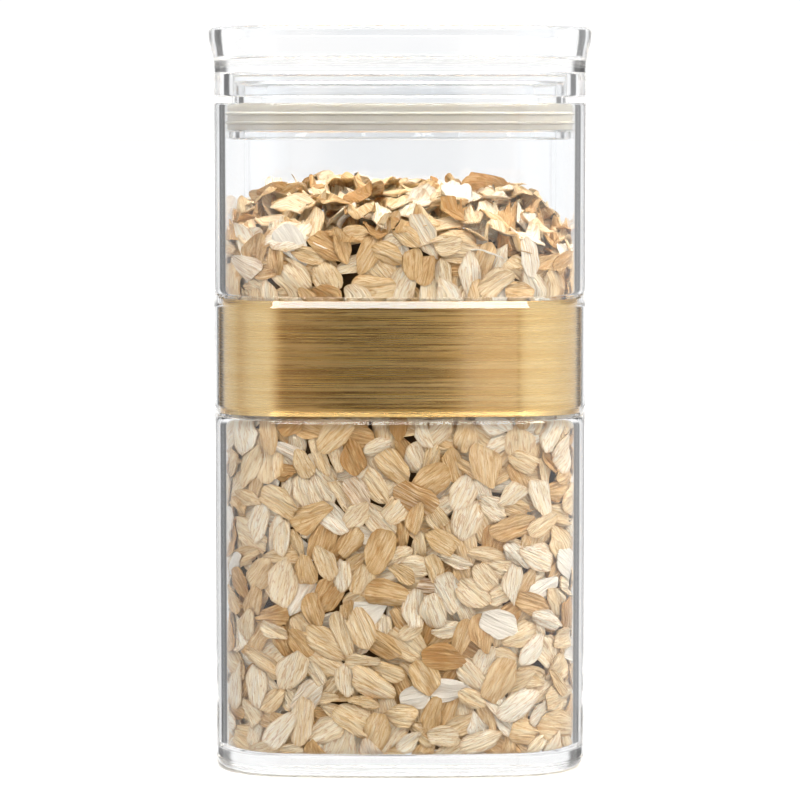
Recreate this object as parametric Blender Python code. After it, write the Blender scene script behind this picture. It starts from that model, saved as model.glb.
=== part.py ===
"""Clear dry-food canister with a press-in lid, a gold band under a clear cover, and its fill of rolled oats.

Frame: metres, +Z up, origin at the middle of the base, front towards -Y.

Every level cut through every piece is the same rounded square, moved inwards or outwards. So a piece is
one profile, drawn as inset (distance in from the body's outline) against height, swept once round it.
"""
import math

import bmesh
import bpy

MM = 0.001

# Outline of the body: four shallow face arcs joined by four corner arcs
BODY_WIDTH = 100.0 * MM
FACE_RADIUS = 278.0 * MM
CORNER_RADIUS = 21.0 * MM

# Canister body
BODY_HEIGHT = 173.5 * MM
WALL = 2.8 * MM
FLOOR = 4.6 * MM
BASE_FILLET = 2.7 * MM
INNER_FILLET = 2.0 * MM
RIM_FILLET = 0.6 * MM

# Gold strip and its clear cover, in a recess round the body
BAND_MIDDLE = 108.05 * MM
BAND_HEIGHT = 31.1 * MM
COVER_THICKNESS = 1.1 * MM
COVER_PROUD = 0.15 * MM
BEVEL_DEPTH = 0.8 * MM
BEVEL_HEIGHT = 2.7 * MM
BEVEL_LIP = 0.6 * MM
GOLD_THICKNESS = 0.3 * MM
GOLD_MARGIN = 0.8 * MM
SEAM = 0.4 * MM
SHOULDER_DEPTH = 0.9 * MM
SHOULDER_HEIGHT = 2.0 * MM

# Lid shell: skirt as thick as the plug's neck allows, slab and flared tray; heights start from the canister's rim
LID_GAP = 1.6 * MM
LID_OVERHANG = 0.25 * MM
SKIRT_DEPTH = 6.4 * MM
SLAB = 3.4 * MM
TRAY_DEPTH = 8.3 * MM
TRAY_WALL = 2.8 * MM
TRAY_FILLET = 1.4 * MM
FLARE = 1.35 * MM
FLARE_RISE = 2.1 * MM
FLARE_STOP = 3.2 * MM
FLARE_CURVE = 15.0 * MM
RIM_THICKNESS = 3.6 * MM
RIM_ROUND = 1.1 * MM

# Plug: a cup bonded under the slab, open downwards, with a flange at its mouth
PLUG_REACH = 9.4 * MM
PLUG_CLEARANCE = 2.5 * MM
PLUG_WALL = 2.5 * MM
PLUG_PLATE = 2.0 * MM
PLUG_FILLET = 1.4 * MM
FLANGE = 2.1 * MM
FLANGE_CLEARANCE = 1.1 * MM

# Gasket: a ring round the plug with two fins towards the wall
GASKET_TOP = 0.3 * MM
GASKET_CLEARANCE = 0.8 * MM
FIN_CLEARANCE = 0.3 * MM
FIN_THICKNESS = 0.5 * MM
FIN_DROPS = (2.7 * MM, 5.1 * MM)

# Rolled oats: a heap whose crest stays below the plug
HEAP_CLEARANCE = 11.6 * MM
HEAP_FALL = 13.0 * MM
HEAP_TILT = 2.5 * MM
HEAP_LUMP = 1.2 * MM
HEAP_RINGS = (0.94, 0.78, 0.56, 0.3)
LUMP_WAVES = (3, 2)

# Gap kept between pieces that touch or are bonded
GAP = 0.3 * MM
STRIP_GAP = 0.25 * MM

# Fineness of the facets
FACE_STEPS = 4
CORNER_STEPS = 8
FILLET_STEP = math.radians(32.0)
OVAL_STEPS = 3
SHARP_ANGLE = math.radians(35.0)


def section_outline(inset=0.0):
    """The rounded square at an inset, anticlockwise, starting on the right-hand face."""
    reach = FACE_RADIUS - BODY_WIDTH / 2
    spare = FACE_RADIUS - CORNER_RADIUS
    corner = (math.sqrt(2 * spare ** 2 - reach ** 2) - reach) / 2
    swing = math.asin(corner / spare)
    points = []
    for quarter in range(4):
        facing = quarter * math.pi / 2
        cosine = math.cos(facing)
        sine = math.sin(facing)
        for step in range(FACE_STEPS + 1):
            angle = facing + swing * (2 * step / FACE_STEPS - 1)
            radius = FACE_RADIUS - inset
            points.append((radius * math.cos(angle) - reach * cosine, radius * math.sin(angle) - reach * sine))
        middle = (corner * (cosine - sine), corner * (cosine + sine))
        for step in range(1, CORNER_STEPS):
            angle = facing + swing + (math.pi / 2 - 2 * swing) * step / CORNER_STEPS
            radius = CORNER_RADIUS - inset
            points.append((middle[0] + radius * math.cos(angle), middle[1] + radius * math.sin(angle)))
    return points


def strip_outline():
    """The same outline, open at the middle of the back face, where a wrapped strip's ends meet.

    It runs clockwise, because an open path takes its profile's insets to the right of its direction.
    """
    points = section_outline()
    back = len(points) // 4 + FACE_STEPS // 2
    ordered = points[back:] + points[:back + 1]
    ordered[0] = (-SEAM / 2, ordered[0][1])
    ordered[-1] = (SEAM / 2, ordered[-1][1])
    ordered.reverse()
    return ordered


def rounded(corners, closed=False):
    """Corners are (inset, height, fillet radius); returns the profile with its corners rounded."""
    profile = []
    count = len(corners)
    for index, (inset, height, radius) in enumerate(corners):
        at_end = not closed and index in (0, count - 1)
        if at_end or radius == 0.0:
            profile.append((inset, height))
            continue
        before = corners[index - 1]
        after = corners[(index + 1) % count]
        profile += fillet((inset, height), before, after, radius)
    return profile


def fillet(corner, before, after, radius):
    """Points of the arc that rounds one corner between its two neighbours."""
    to_before = math.atan2(before[1] - corner[1], before[0] - corner[0])
    to_after = math.atan2(after[1] - corner[1], after[0] - corner[0])
    opening = wrapped(to_after - to_before)
    bisector = to_before + opening / 2
    reach = radius / math.sin(abs(opening) / 2)
    centre = (corner[0] + reach * math.cos(bisector), corner[1] + reach * math.sin(bisector))
    turn = math.copysign(math.pi, opening) - opening
    first = bisector + math.pi + turn / 2
    steps = max(1, round(abs(turn) / FILLET_STEP))
    points = []
    for step in range(steps + 1):
        angle = first - turn * step / steps
        points.append((centre[0] + radius * math.cos(angle), centre[1] + radius * math.sin(angle)))
    return points


def wrapped(angle):
    """The same angle between minus and plus half a turn."""
    return (angle + math.pi) % (2 * math.pi) - math.pi


def oval_edge(wall, shelf):
    """Quarter oval from a point on an upright wall to a point on a level shelf, as sharp corners."""
    corners = []
    for step in range(OVAL_STEPS + 1):
        angle = math.pi / 2 * step / OVAL_STEPS
        inset = shelf[0] + (wall[0] - shelf[0]) * math.cos(angle)
        height = wall[1] + (shelf[1] - wall[1]) * math.sin(angle)
        corners.append((inset, height, 0.0))
    return corners


def poly_curve(name, points, closed):
    """A flat POLY curve object through the points."""
    curve = bpy.data.curves.new(name, "CURVE")
    curve.dimensions = "2D"
    curve.fill_mode = "NONE"
    spline = curve.splines.new("POLY")
    spline.points.add(len(points) - 1)
    for target, (across, along) in zip(spline.points, points):
        target.co = (across, along, 0.0, 1.0)
    spline.use_cyclic_u = closed
    guide = bpy.data.objects.new(name, curve)
    bpy.context.scene.collection.objects.link(guide)
    return guide


def sweep(name, profile, outline, closed_profile=False, closed_outline=True):
    """Sweeps a profile round an outline and closes what is open, as one mesh object."""
    path = poly_curve(name + "_path", outline, closed_outline)
    shape = poly_curve(name + "_profile", profile, closed_profile)
    path.data.bevel_mode = "OBJECT"
    path.data.bevel_object = shape
    path.data.use_fill_caps = not closed_outline
    graph = bpy.context.evaluated_depsgraph_get()
    mesh = bpy.data.meshes.new_from_object(path.evaluated_get(graph))
    mesh.name = name
    bpy.data.objects.remove(path)
    bpy.data.objects.remove(shape)
    return finished(name, mesh)


def finished(name, mesh):
    """Welds and caps a mesh, turns its faces outwards and puts it in the canister's collection."""
    shape = bmesh.new()
    shape.from_mesh(mesh)
    bmesh.ops.remove_doubles(shape, verts=shape.verts, dist=0.001 * MM)
    open_edges = [edge for edge in shape.edges if edge.is_boundary]
    bmesh.ops.holes_fill(shape, edges=open_edges, sides=0)
    bmesh.ops.recalc_face_normals(shape, faces=shape.faces)
    shape.to_mesh(mesh)
    shape.free()
    mesh.materials.clear()
    piece = bpy.data.objects.new(name, mesh)
    PARTS.objects.link(piece)
    mesh.shade_smooth()
    mesh.set_sharp_from_angle(angle=SHARP_ANGLE)
    return piece


def plain_material(name, colour, roughness, metallic=0.0, transmission=0.0, ior=1.45):
    """A Principled material of one colour."""
    material = bpy.data.materials.new(name)
    material.use_nodes = True
    shader = material.node_tree.nodes["Principled BSDF"]
    shader.inputs["Base Color"].default_value = (*colour, 1.0)
    shader.inputs["Roughness"].default_value = roughness
    shader.inputs["Metallic"].default_value = metallic
    shader.inputs["Transmission Weight"].default_value = transmission
    shader.inputs["IOR"].default_value = ior
    material.diffuse_color = (*colour, 1.0)
    return material


# Places that several pieces share
BAND_LOW = BAND_MIDDLE - BAND_HEIGHT / 2
BAND_HIGH = BAND_MIDDLE + BAND_HEIGHT / 2
COVER_OUTER = -COVER_PROUD
COVER_INNER = COVER_OUTER + COVER_THICKNESS
GOLD_OUTER = COVER_INNER + STRIP_GAP
GOLD_INNER = GOLD_OUTER + GOLD_THICKNESS
RECESS = GOLD_INNER + STRIP_GAP
NECK = WALL + PLUG_CLEARANCE
HEAP_CREST = BODY_HEIGHT - PLUG_REACH - HEAP_CLEARANCE


def make_canister_body():
    """Open-topped moulded body: floor, walls and the recess that holds the band."""
    low = BAND_LOW - GAP
    high = BAND_HIGH + GAP
    lower_shoulder = oval_edge((0.0, low - SHOULDER_HEIGHT), (SHOULDER_DEPTH, low))
    upper_shoulder = oval_edge((0.0, high + SHOULDER_HEIGHT), (SHOULDER_DEPTH, high))
    corners = [
        (BASE_FILLET + MM, 0.0, 0.0),
        (0.0, 0.0, BASE_FILLET),
        *lower_shoulder,
        (RECESS, low, 0.0),
        (RECESS, high, 0.0),
        *reversed(upper_shoulder),
        (0.0, BODY_HEIGHT, RIM_FILLET),
        (WALL, BODY_HEIGHT, RIM_FILLET),
        (WALL, FLOOR, INNER_FILLET),
        (WALL + INNER_FILLET + MM, FLOOR, 0.0),
    ]
    return sweep("canister_body", rounded(corners), section_outline())


def make_gold_band():
    """Thin sheet strip, bent round the recess, its ends butted at the back."""
    low = BAND_LOW + GOLD_MARGIN
    high = BAND_HIGH - GOLD_MARGIN
    corners = [(GOLD_OUTER, low), (GOLD_OUTER, high), (GOLD_INNER, high), (GOLD_INNER, low)]
    return sweep("gold_band", corners, strip_outline(), closed_profile=True, closed_outline=False)


def make_band_cover():
    """Clear strip over the gold sheet, with a long bevel on both long edges."""
    edge = COVER_OUTER + BEVEL_DEPTH
    corners = [
        (edge, BAND_LOW, 0.0),
        (edge, BAND_LOW + BEVEL_LIP, 0.8 * MM),
        (COVER_OUTER, BAND_LOW + BEVEL_HEIGHT, 2.0 * MM),
        (COVER_OUTER, BAND_HIGH - BEVEL_HEIGHT, 2.0 * MM),
        (edge, BAND_HIGH - BEVEL_LIP, 0.8 * MM),
        (edge, BAND_HIGH, 0.0),
        (COVER_INNER, BAND_HIGH, 0.0),
        (COVER_INNER, BAND_LOW, 0.0),
    ]
    return sweep("band_cover", rounded(corners, True), strip_outline(), closed_profile=True, closed_outline=False)


def make_lid_shell():
    """Thick skirt round the plug's neck, slab, and a tray above it whose wall flares outwards."""
    skirt_foot = LID_GAP
    slab_under = LID_GAP + SKIRT_DEPTH
    tray_floor = slab_under + SLAB
    top = tray_floor + TRAY_DEPTH
    skirt_inner = NECK - GAP
    tray_inner = TRAY_WALL - LID_OVERHANG
    rim_outer = -LID_OVERHANG - FLARE
    corners = [
        (skirt_inner + MM, slab_under, 0.0),
        (skirt_inner, slab_under, RIM_FILLET),
        (skirt_inner, skirt_foot, RIM_FILLET),
        (-LID_OVERHANG, skirt_foot, RIM_FILLET),
        (-LID_OVERHANG, slab_under + FLARE_RISE, FLARE_CURVE),
        (rim_outer, top - FLARE_STOP, FLARE_CURVE),
        (rim_outer, top, RIM_ROUND),
        (rim_outer + RIM_THICKNESS, top, RIM_ROUND),
        (tray_inner, tray_floor, TRAY_FILLET),
        (tray_inner + TRAY_FILLET + MM, tray_floor, 0.0),
    ]
    return sweep("lid_shell", rounded(corners), section_outline())


def make_lid_plug():
    """Cup under the slab, mouth down, with the flange that the gasket sits on."""
    plate_top = LID_GAP + SKIRT_DEPTH - GAP
    plate_under = plate_top - PLUG_PLATE
    mouth = -PLUG_REACH
    flange_top = mouth + FLANGE
    neck_inner = NECK + PLUG_WALL
    corners = [
        (NECK + MM, plate_top, 0.0),
        (NECK, plate_top, RIM_FILLET),
        (NECK, flange_top, 0.0),
        (WALL + FLANGE_CLEARANCE, flange_top, 0.0),
        (WALL + FLANGE_CLEARANCE, mouth, RIM_FILLET),
        (neck_inner, mouth, RIM_FILLET),
        (neck_inner, plate_under, PLUG_FILLET),
        (neck_inner + PLUG_FILLET + MM, plate_under, 0.0),
    ]
    return sweep("lid_plug", rounded(corners), section_outline())


def make_lid_gasket():
    """Soft ring round the plug; its two fins reach almost to the canister's wall."""
    foot = FLANGE - PLUG_REACH + GAP
    inner = NECK - GAP
    outer = WALL + GASKET_CLEARANCE
    fin = WALL + FIN_CLEARANCE
    corners = [(inner, -GASKET_TOP), (inner, foot), (outer, foot)]
    for drop in sorted(FIN_DROPS, reverse=True):
        corners.append((outer, -drop - FIN_THICKNESS))
        corners.append((fin, -drop - FIN_THICKNESS / 2))
        corners.append((fin, -drop + FIN_THICKNESS / 2))
        corners.append((outer, -drop + FIN_THICKNESS))
    corners.append((outer, -GASKET_TOP))
    return sweep("lid_gasket", corners, section_outline(), closed_profile=True)


def heap_height(across, along):
    """Height of the oats at a point: flat on top, falling to the walls, higher on the left, with gentle lumps."""
    half = BODY_WIDTH / 2
    reach = min(1.0, math.hypot(across, along) / half)
    waves = math.cos(LUMP_WAVES[0] * math.pi * across / half) * math.cos(LUMP_WAVES[1] * math.pi * along / half)
    return HEAP_CREST - HEAP_FALL * reach ** 4 - HEAP_TILT * across / half * reach + HEAP_LUMP * (waves - 1) / 2


def make_rolled_oats():
    """The fill: follows the floor and the walls at the usual gap, with a heaped top."""
    inset = WALL + GAP
    foot = FLOOR + GAP
    rings = [[(x, y, foot) for x, y in section_outline(inset + INNER_FILLET)]]
    wall = section_outline(inset)
    rings.append([(x, y, foot + INNER_FILLET) for x, y in wall])
    for share in (1.0,) + HEAP_RINGS:
        rings.append([(x * share, y * share, heap_height(x * share, y * share)) for x, y in wall])
    shape = bmesh.new()
    loops = [[shape.verts.new(point) for point in ring] for ring in rings]
    for lower, upper in zip(loops, loops[1:]):
        for index, corner in enumerate(lower):
            shape.faces.new((corner, lower[index - 1], upper[index - 1], upper[index]))
    crown = shape.faces.new(loops[-1])
    bmesh.ops.poke(shape, faces=[crown])
    mesh = bpy.data.meshes.new("rolled_oats")
    shape.to_mesh(mesh)
    shape.free()
    return finished("rolled_oats", mesh)


for old in list(bpy.data.objects):
    bpy.data.objects.remove(old)

PARTS = bpy.data.collections.new("dry_food_canister")
bpy.context.scene.collection.children.link(PARTS)

clear = plain_material("clear_acrylic", (0.93, 0.95, 0.96), 0.05, transmission=1.0, ior=1.49)
gold = plain_material("brushed_gold_sheet", (0.58, 0.4, 0.16), 0.3, metallic=1.0)
silicone = plain_material("beige_silicone", (0.62, 0.58, 0.5), 0.45)
oats = plain_material("rolled_oats", (0.72, 0.52, 0.3), 0.8)

body = make_canister_body()
body.data.materials.append(clear)
band = make_gold_band()
band.data.materials.append(gold)
cover = make_band_cover()
cover.data.materials.append(clear.copy())
fill = make_rolled_oats()
fill.data.materials.append(oats)

lid_seat = bpy.data.objects.new("lid_seat", None)
lid_seat.location = (0.0, 0.0, BODY_HEIGHT)
PARTS.objects.link(lid_seat)

shell = make_lid_shell()
shell.data.materials.append(clear.copy())
plug = make_lid_plug()
plug.data.materials.append(clear.copy())
gasket = make_lid_gasket()
gasket.data.materials.append(silicone)
for piece in (shell, plug, gasket):
    piece.parent = lid_seat
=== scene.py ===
# %% [markdown]
# # A clear canister of rolled oats with a gold band
#
# The object is a free-standing food canister: a moulded acrylic body of rounded-square section, a clear lid
# that presses in on a beige gasket, a strip of brushed gold sheet under a clear cover, and a fill of oats.
# The CAD frame fixes every size. This script gives each piece its finished surface, piece by piece.

# %% Load the fixed frame
import math

import bmesh
import bpy
import numpy as np
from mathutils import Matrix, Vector


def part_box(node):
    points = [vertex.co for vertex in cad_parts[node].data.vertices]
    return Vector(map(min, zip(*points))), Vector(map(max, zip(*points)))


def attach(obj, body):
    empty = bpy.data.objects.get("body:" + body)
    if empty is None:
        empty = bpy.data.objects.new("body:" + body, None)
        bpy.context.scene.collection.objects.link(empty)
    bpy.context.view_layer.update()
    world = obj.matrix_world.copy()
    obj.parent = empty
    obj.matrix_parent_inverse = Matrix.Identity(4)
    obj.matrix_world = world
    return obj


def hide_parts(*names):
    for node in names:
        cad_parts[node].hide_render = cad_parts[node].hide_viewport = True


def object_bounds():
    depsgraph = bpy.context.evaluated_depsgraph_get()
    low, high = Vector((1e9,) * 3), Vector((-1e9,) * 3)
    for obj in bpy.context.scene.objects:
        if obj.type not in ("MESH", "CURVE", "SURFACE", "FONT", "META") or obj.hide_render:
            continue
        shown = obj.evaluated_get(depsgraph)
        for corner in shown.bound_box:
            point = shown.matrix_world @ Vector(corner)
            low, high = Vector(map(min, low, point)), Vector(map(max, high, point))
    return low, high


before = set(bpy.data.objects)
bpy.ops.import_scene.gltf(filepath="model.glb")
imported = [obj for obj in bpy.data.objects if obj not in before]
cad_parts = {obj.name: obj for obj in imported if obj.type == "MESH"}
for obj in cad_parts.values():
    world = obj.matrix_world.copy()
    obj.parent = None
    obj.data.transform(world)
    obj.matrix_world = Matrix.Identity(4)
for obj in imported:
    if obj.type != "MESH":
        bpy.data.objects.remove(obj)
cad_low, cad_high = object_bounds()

MM = 0.001
print("CAD box in mm:", [round(side / MM, 1) for side in (cad_high - cad_low)])

# %% [markdown]
# ## Camera and light first
#
# A lens of 167 mm from one metre flattens the view the way a catalogue picture does. The light is a white
# tent: bright all round, brighter overhead, with a dark slot where the camera looks in. Clear plastic has no
# colour of its own, so dark panels are what draw its edges, and brushed metal shows the slot as a dark face.

# %% Camera
CAMERA_DISTANCE = 1000 * MM
CAMERA_HEIGHT = 172 * MM
CAMERA_LENS = 167.6
CAMERA_PITCH = math.radians(4.47)
LIGHT_BOUNCES = 64

camera = bpy.data.cameras.new("camera")
camera.lens = CAMERA_LENS
camera.sensor_width = 36.0
camera.clip_end = 100.0
viewer = bpy.data.objects.new("camera", camera)
viewer.location = (0.0, -CAMERA_DISTANCE, CAMERA_HEIGHT)
viewer.rotation_euler = (math.pi / 2 - CAMERA_PITCH, 0.0, 0.0)
bpy.context.scene.collection.objects.link(viewer)
bpy.context.scene.camera = viewer
bpy.context.scene.view_settings.view_transform = "Standard"
bpy.context.scene.cycles.max_bounces = LIGHT_BOUNCES
bpy.context.scene.cycles.transmission_bounces = LIGHT_BOUNCES
bpy.context.scene.cycles.glossy_bounces = LIGHT_BOUNCES
print("camera", tuple(round(x, 3) for x in viewer.location))


# %% Node and colour helpers
def node(tree, kind, inputs=None, **settings):
    """Adds a node with its settings; an input is a value, or a socket that is linked to it."""
    made = tree.nodes.new(kind)
    for name, value in settings.items():
        setattr(made, name, value)
    for name, value in (inputs or {}).items():
        socket = made.inputs[name]
        if isinstance(value, bpy.types.NodeSocket):
            tree.links.new(value, socket)
        else:
            socket.default_value = value
    return made


def linear(code):
    """An sRGB hex colour as linear RGBA."""
    channels = [int(code[index:index + 2], 16) / 255 for index in (1, 3, 5)]
    curved = [c / 12.92 if c <= 0.04045 else ((c + 0.055) / 1.055) ** 2.4 for c in channels]
    return (*curved, 1.0)


# %% [markdown]
# The tent is the world's own shader, worked out from the direction of each ray: a ring of panels named by
# azimuth from the front, and a brighter roof. Two dark panels behind, one each side, stand where the corners
# of clear plastic look, so the walls get their charcoal edge lines. They end above the paper, so that a view
# from above sees white through the lid and not the panels. No panel is small, so the light that reaches the
# oats through the walls stays free of noise.

# %% Light tent
ROOF_LIGHT = 1.7
PANELS = [
    (-180, 1.06, 0.0), (-151, 1.06, 0.0), (-147, 0.1, 0.0), (-130, 0.09, 0.0), (-126, 0.9, 0.0),
    (-98, 0.85, 0.0), (-88, 0.72, 0.3), (-66, 0.95, 0.0), (-38, 0.95, 0.0), (-29, 0.75, 0.3),
    (-20, 0.36, 0.85), (-11, 0.24, 0.95), (-8.5, 0.07, 1.0), (-2, 0.07, 1.0), (-0.5, 0.18, 1.0),
    (0.8, 0.09, 1.0), (6.5, 0.11, 1.0), (8.5, 0.85, 0.4), (15, 0.95, 0.3), (17.5, 0.35, 0.6),
    (21, 0.85, 0.2), (32, 1.05, 0.0), (70, 1.1, 0.0), (126, 0.95, 0.0), (130, 0.2, 0.0),
    (147, 0.2, 0.0), (151, 1.06, 0.0), (180, 1.06, 0.0),
]
WARM_DARK = (1.0, 0.66, 0.38)
PAPER_BELOW = (1.06, 1.06, 1.06, 1.0)


def ramp(tree, value, low, high, start, end):
    """A smooth step of value from low to high, giving start to end."""
    made = node(tree, "ShaderNodeMapRange", {0: value, 1: low, 2: high, 3: start, 4: end},
                interpolation_type="SMOOTHSTEP")
    return made.outputs[0]


def light_ring(tree, azimuth):
    """The ring of panels as one colour ramp over azimuth; warmth tints a panel towards brown."""
    around = node(tree, "ShaderNodeMapRange", {0: azimuth, 1: -180.0, 2: 180.0}).outputs[0]
    ring = node(tree, "ShaderNodeValToRGB", {0: around})
    stops = ring.color_ramp.elements
    for index, (degrees, brightness, warmth) in enumerate(PANELS):
        position = (degrees + 180) / 360
        stop = stops[0] if index == 0 else stops[-1] if index == len(PANELS) - 1 else stops.new(position)
        stop.position = position
        stop.color = [*(brightness * (1 - warmth * (1 - tint)) for tint in WARM_DARK), 1.0]
    return ring.outputs[0]


world = bpy.data.worlds.new("light_tent")
bpy.context.scene.world = world
world.use_nodes = True
tent = world.node_tree
tent.nodes.clear()
ray = node(tent, "ShaderNodeTexCoord").outputs["Generated"]
axes = node(tent, "ShaderNodeSeparateXYZ", {0: ray}).outputs
front = node(tent, "ShaderNodeMath", {0: axes[1], 1: -1.0}, operation="MULTIPLY").outputs[0]
turn = node(tent, "ShaderNodeMath", {0: axes[0], 1: front}, operation="ARCTAN2").outputs[0]
azimuth = node(tent, "ShaderNodeMath", {0: turn}, operation="DEGREES").outputs[0]
roof = ramp(tent, axes[2], 0.6, 0.85, 0.0, 1.0)
panels = node(tent, "ShaderNodeMix", {0: roof, 6: light_ring(tent, azimuth), 7: (ROOF_LIGHT,) * 3 + (1.0,)},
              data_type="RGBA").outputs[2]
downward = ramp(tent, axes[2], -0.32, -0.14, 1.0, 0.0)
behind = ramp(tent, front, -0.6, -0.4, 1.0, 0.0)
both_ways = node(tent, "ShaderNodeMath", {0: downward, 1: behind}, operation="MULTIPLY").outputs[0]
whole = node(tent, "ShaderNodeMix", {0: both_ways, 6: panels, 7: PAPER_BELOW}, data_type="RGBA").outputs[2]
glow = node(tent, "ShaderNodeBackground", {"Color": whole})
node(tent, "ShaderNodeOutputWorld", {"Surface": glow.outputs[0]})
print("light tent of", len(PANELS), "panel edges")


# %% Softboxes
def softbox(name, place, aim, size, watts, colour):
    """A rectangular lamp at a place, turned towards a point."""
    lamp = bpy.data.lights.new(name, "AREA")
    lamp.shape = "RECTANGLE"
    lamp.size, lamp.size_y = size
    lamp.energy = watts
    lamp.color = linear(colour)[:3]
    holder = bpy.data.objects.new(name, lamp)
    holder.location = place
    holder.rotation_euler = (Vector(aim) - Vector(place)).to_track_quat("-Z", "Y").to_euler()
    holder.visible_camera = False
    bpy.context.scene.collection.objects.link(holder)


MIDDLE = (cad_low + cad_high) / 2
softbox("roof_softbox", (0.0, -0.1, 1.0), MIDDLE, (0.8, 0.5), 31.0, "#FFFBF2")
softbox("front_strip_softbox", (0.0, -0.95, 0.83), MIDDLE, (1.4, 0.15), 12.0, "#FFFDF8")
softbox("warm_side_softbox", (0.65, -0.45, 0.95), MIDDLE, (0.4, 0.4), 14.0, "#FFF0D6")

# %% [markdown]
# ## Floor
#
# A plain sheet of pale matt paper, wide enough that its far edge meets the tent's white.

# %% Floor
FLOOR_DROP = 0.4 * MM
FLOOR_SIZE = 40.0

bpy.ops.mesh.primitive_plane_add(size=FLOOR_SIZE, location=(0.0, 0.0, cad_low.z - FLOOR_DROP))
floor = bpy.context.object
floor.name = "paper_floor"
paper = bpy.data.materials.new("matt_paper")
paper.use_nodes = True
sheet_tree = paper.node_tree
fibres = node(sheet_tree, "ShaderNodeTexNoise", {"Scale": 900.0, "Detail": 4.0})
tint = node(sheet_tree, "ShaderNodeMix",
            {0: fibres.outputs["Fac"], 6: linear("#E9E9E8"), 7: linear("#EEEEED")},
            data_type="RGBA").outputs[2]
sheet_tree.links.new(tint, sheet_tree.nodes["Principled BSDF"].inputs["Base Color"])
sheet_tree.nodes["Principled BSDF"].inputs["Roughness"].default_value = 0.9
floor.data.materials.append(paper)
floor.visible_glossy = False
floor.visible_transmission = False

# %% [markdown]
# ## The section that every piece shares
#
# Cut the canister level anywhere and the outline is a square with four shallow face arcs and four corner
# arcs. Moving that outline in by an inset keeps the arc centres and only shortens the radii, so one set of
# centres serves the body, the strips, the lid, the gasket and the oats that press against the wall.

# %% Section geometry
FACE_RADIUS = 278 * MM
CORNER_RADIUS = 21 * MM
HALF_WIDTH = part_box("canister_body")[1].x
REACH = FACE_RADIUS - HALF_WIDTH
SPARE = FACE_RADIUS - CORNER_RADIUS
HUB = (math.sqrt(2 * SPARE ** 2 - REACH ** 2) - REACH) / 2
SWING = math.asin(HUB / SPARE)
FACE_STEPS = 14
CORNER_STEPS = 26


def section_arcs(quarter):
    """Face arc and corner arc of one quarter: (centre x, centre y, radius, first angle, last angle)."""
    facing = quarter * math.pi / 2
    cosine = round(math.cos(facing))
    sine = round(math.sin(facing))
    face = (-REACH * cosine, -REACH * sine, FACE_RADIUS, facing - SWING, facing + SWING)
    corner = (HUB * (cosine - sine), HUB * (cosine + sine), CORNER_RADIUS,
              facing + SWING, facing + math.pi / 2 - SWING)
    return face, corner


def outline():
    """The body's outer outline, anticlockwise from the right-hand face."""
    points = []
    for quarter in range(4):
        for arc, steps in zip(section_arcs(quarter), (FACE_STEPS, CORNER_STEPS)):
            x, y, radius, first, last = arc
            for step in range(steps):
                angle = first + (last - first) * step / steps
                points.append((x + radius * math.cos(angle), y + radius * math.sin(angle)))
    return points


def wrapped_outline(seam):
    """The outline open at the middle of the back, clockwise, for a strip whose ends meet there."""
    points = outline()
    back = len(points) // 4 + FACE_STEPS // 2
    ordered = points[back:] + points[:back + 1]
    ordered[0] = (-seam / 2, ordered[0][1])
    ordered[-1] = (seam / 2, ordered[-1][1])
    return ordered[::-1]


print("corner centre at", round(HUB / MM, 2), "mm, face arcs swing", round(math.degrees(SWING), 2), "degrees")


# %% [markdown]
# A profile is a short list of corners: inset, height, and the radius that rounds the corner. Sweeping it
# round the outline gives a moulded ring; what stays open in the middle is a flat floor or plate. A curve with
# a bevel object does the sweep, and the caps are filled afterwards. Fine fillets matter here more than on a
# painted part, because a clear edge shows its curve twice: once by reflection and once by refraction.

# %% Profiles
FILLET_STEP = math.radians(12.0)


def fillet(corner, before, after, radius):
    """Points of the arc that rounds one corner between its two neighbours."""
    to_before = math.atan2(before[1] - corner[1], before[0] - corner[0])
    to_after = math.atan2(after[1] - corner[1], after[0] - corner[0])
    opening = (to_after - to_before + math.pi) % (2 * math.pi) - math.pi
    bisector = to_before + opening / 2
    reach = radius / math.sin(abs(opening) / 2)
    centre = (corner[0] + reach * math.cos(bisector), corner[1] + reach * math.sin(bisector))
    swing = math.copysign(math.pi, opening) - opening
    first = bisector + math.pi + swing / 2
    steps = max(3, round(abs(swing) / FILLET_STEP))
    angles = [first - swing * step / steps for step in range(steps + 1)]
    return [(centre[0] + radius * math.cos(a), centre[1] + radius * math.sin(a)) for a in angles]


def rounded(corners, closed=False):
    """The profile of (inset, height, radius) corners, with its corners rounded."""
    profile = []
    for index, (inset, height, radius) in enumerate(corners):
        at_end = not closed and index in (0, len(corners) - 1)
        if at_end or radius == 0.0:
            profile.append((inset, height))
        else:
            after = corners[(index + 1) % len(corners)]
            profile += fillet((inset, height), corners[index - 1], after, radius)
    return profile


def oval_edge(wall, shelf, steps=10):
    """Quarter oval from an upright wall's point to a level shelf's point, as sharp corners."""
    corners = []
    for step in range(steps + 1):
        angle = math.pi / 2 * step / steps
        inset = shelf[0] + (wall[0] - shelf[0]) * math.cos(angle)
        corners.append((inset, wall[1] + (shelf[1] - wall[1]) * math.sin(angle), 0.0))
    return corners


# %% Sweep
def flat_curve(name, points, closed):
    """A flat POLY curve object through the points."""
    curve = bpy.data.curves.new(name, "CURVE")
    curve.dimensions = "2D"
    curve.fill_mode = "NONE"
    spline = curve.splines.new("POLY")
    spline.points.add(len(points) - 1)
    for target, (across, along) in zip(spline.points, points):
        target.co = (across, along, 0.0, 1.0)
    spline.use_cyclic_u = closed
    guide = bpy.data.objects.new(name, curve)
    bpy.context.scene.collection.objects.link(guide)
    return guide


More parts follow.
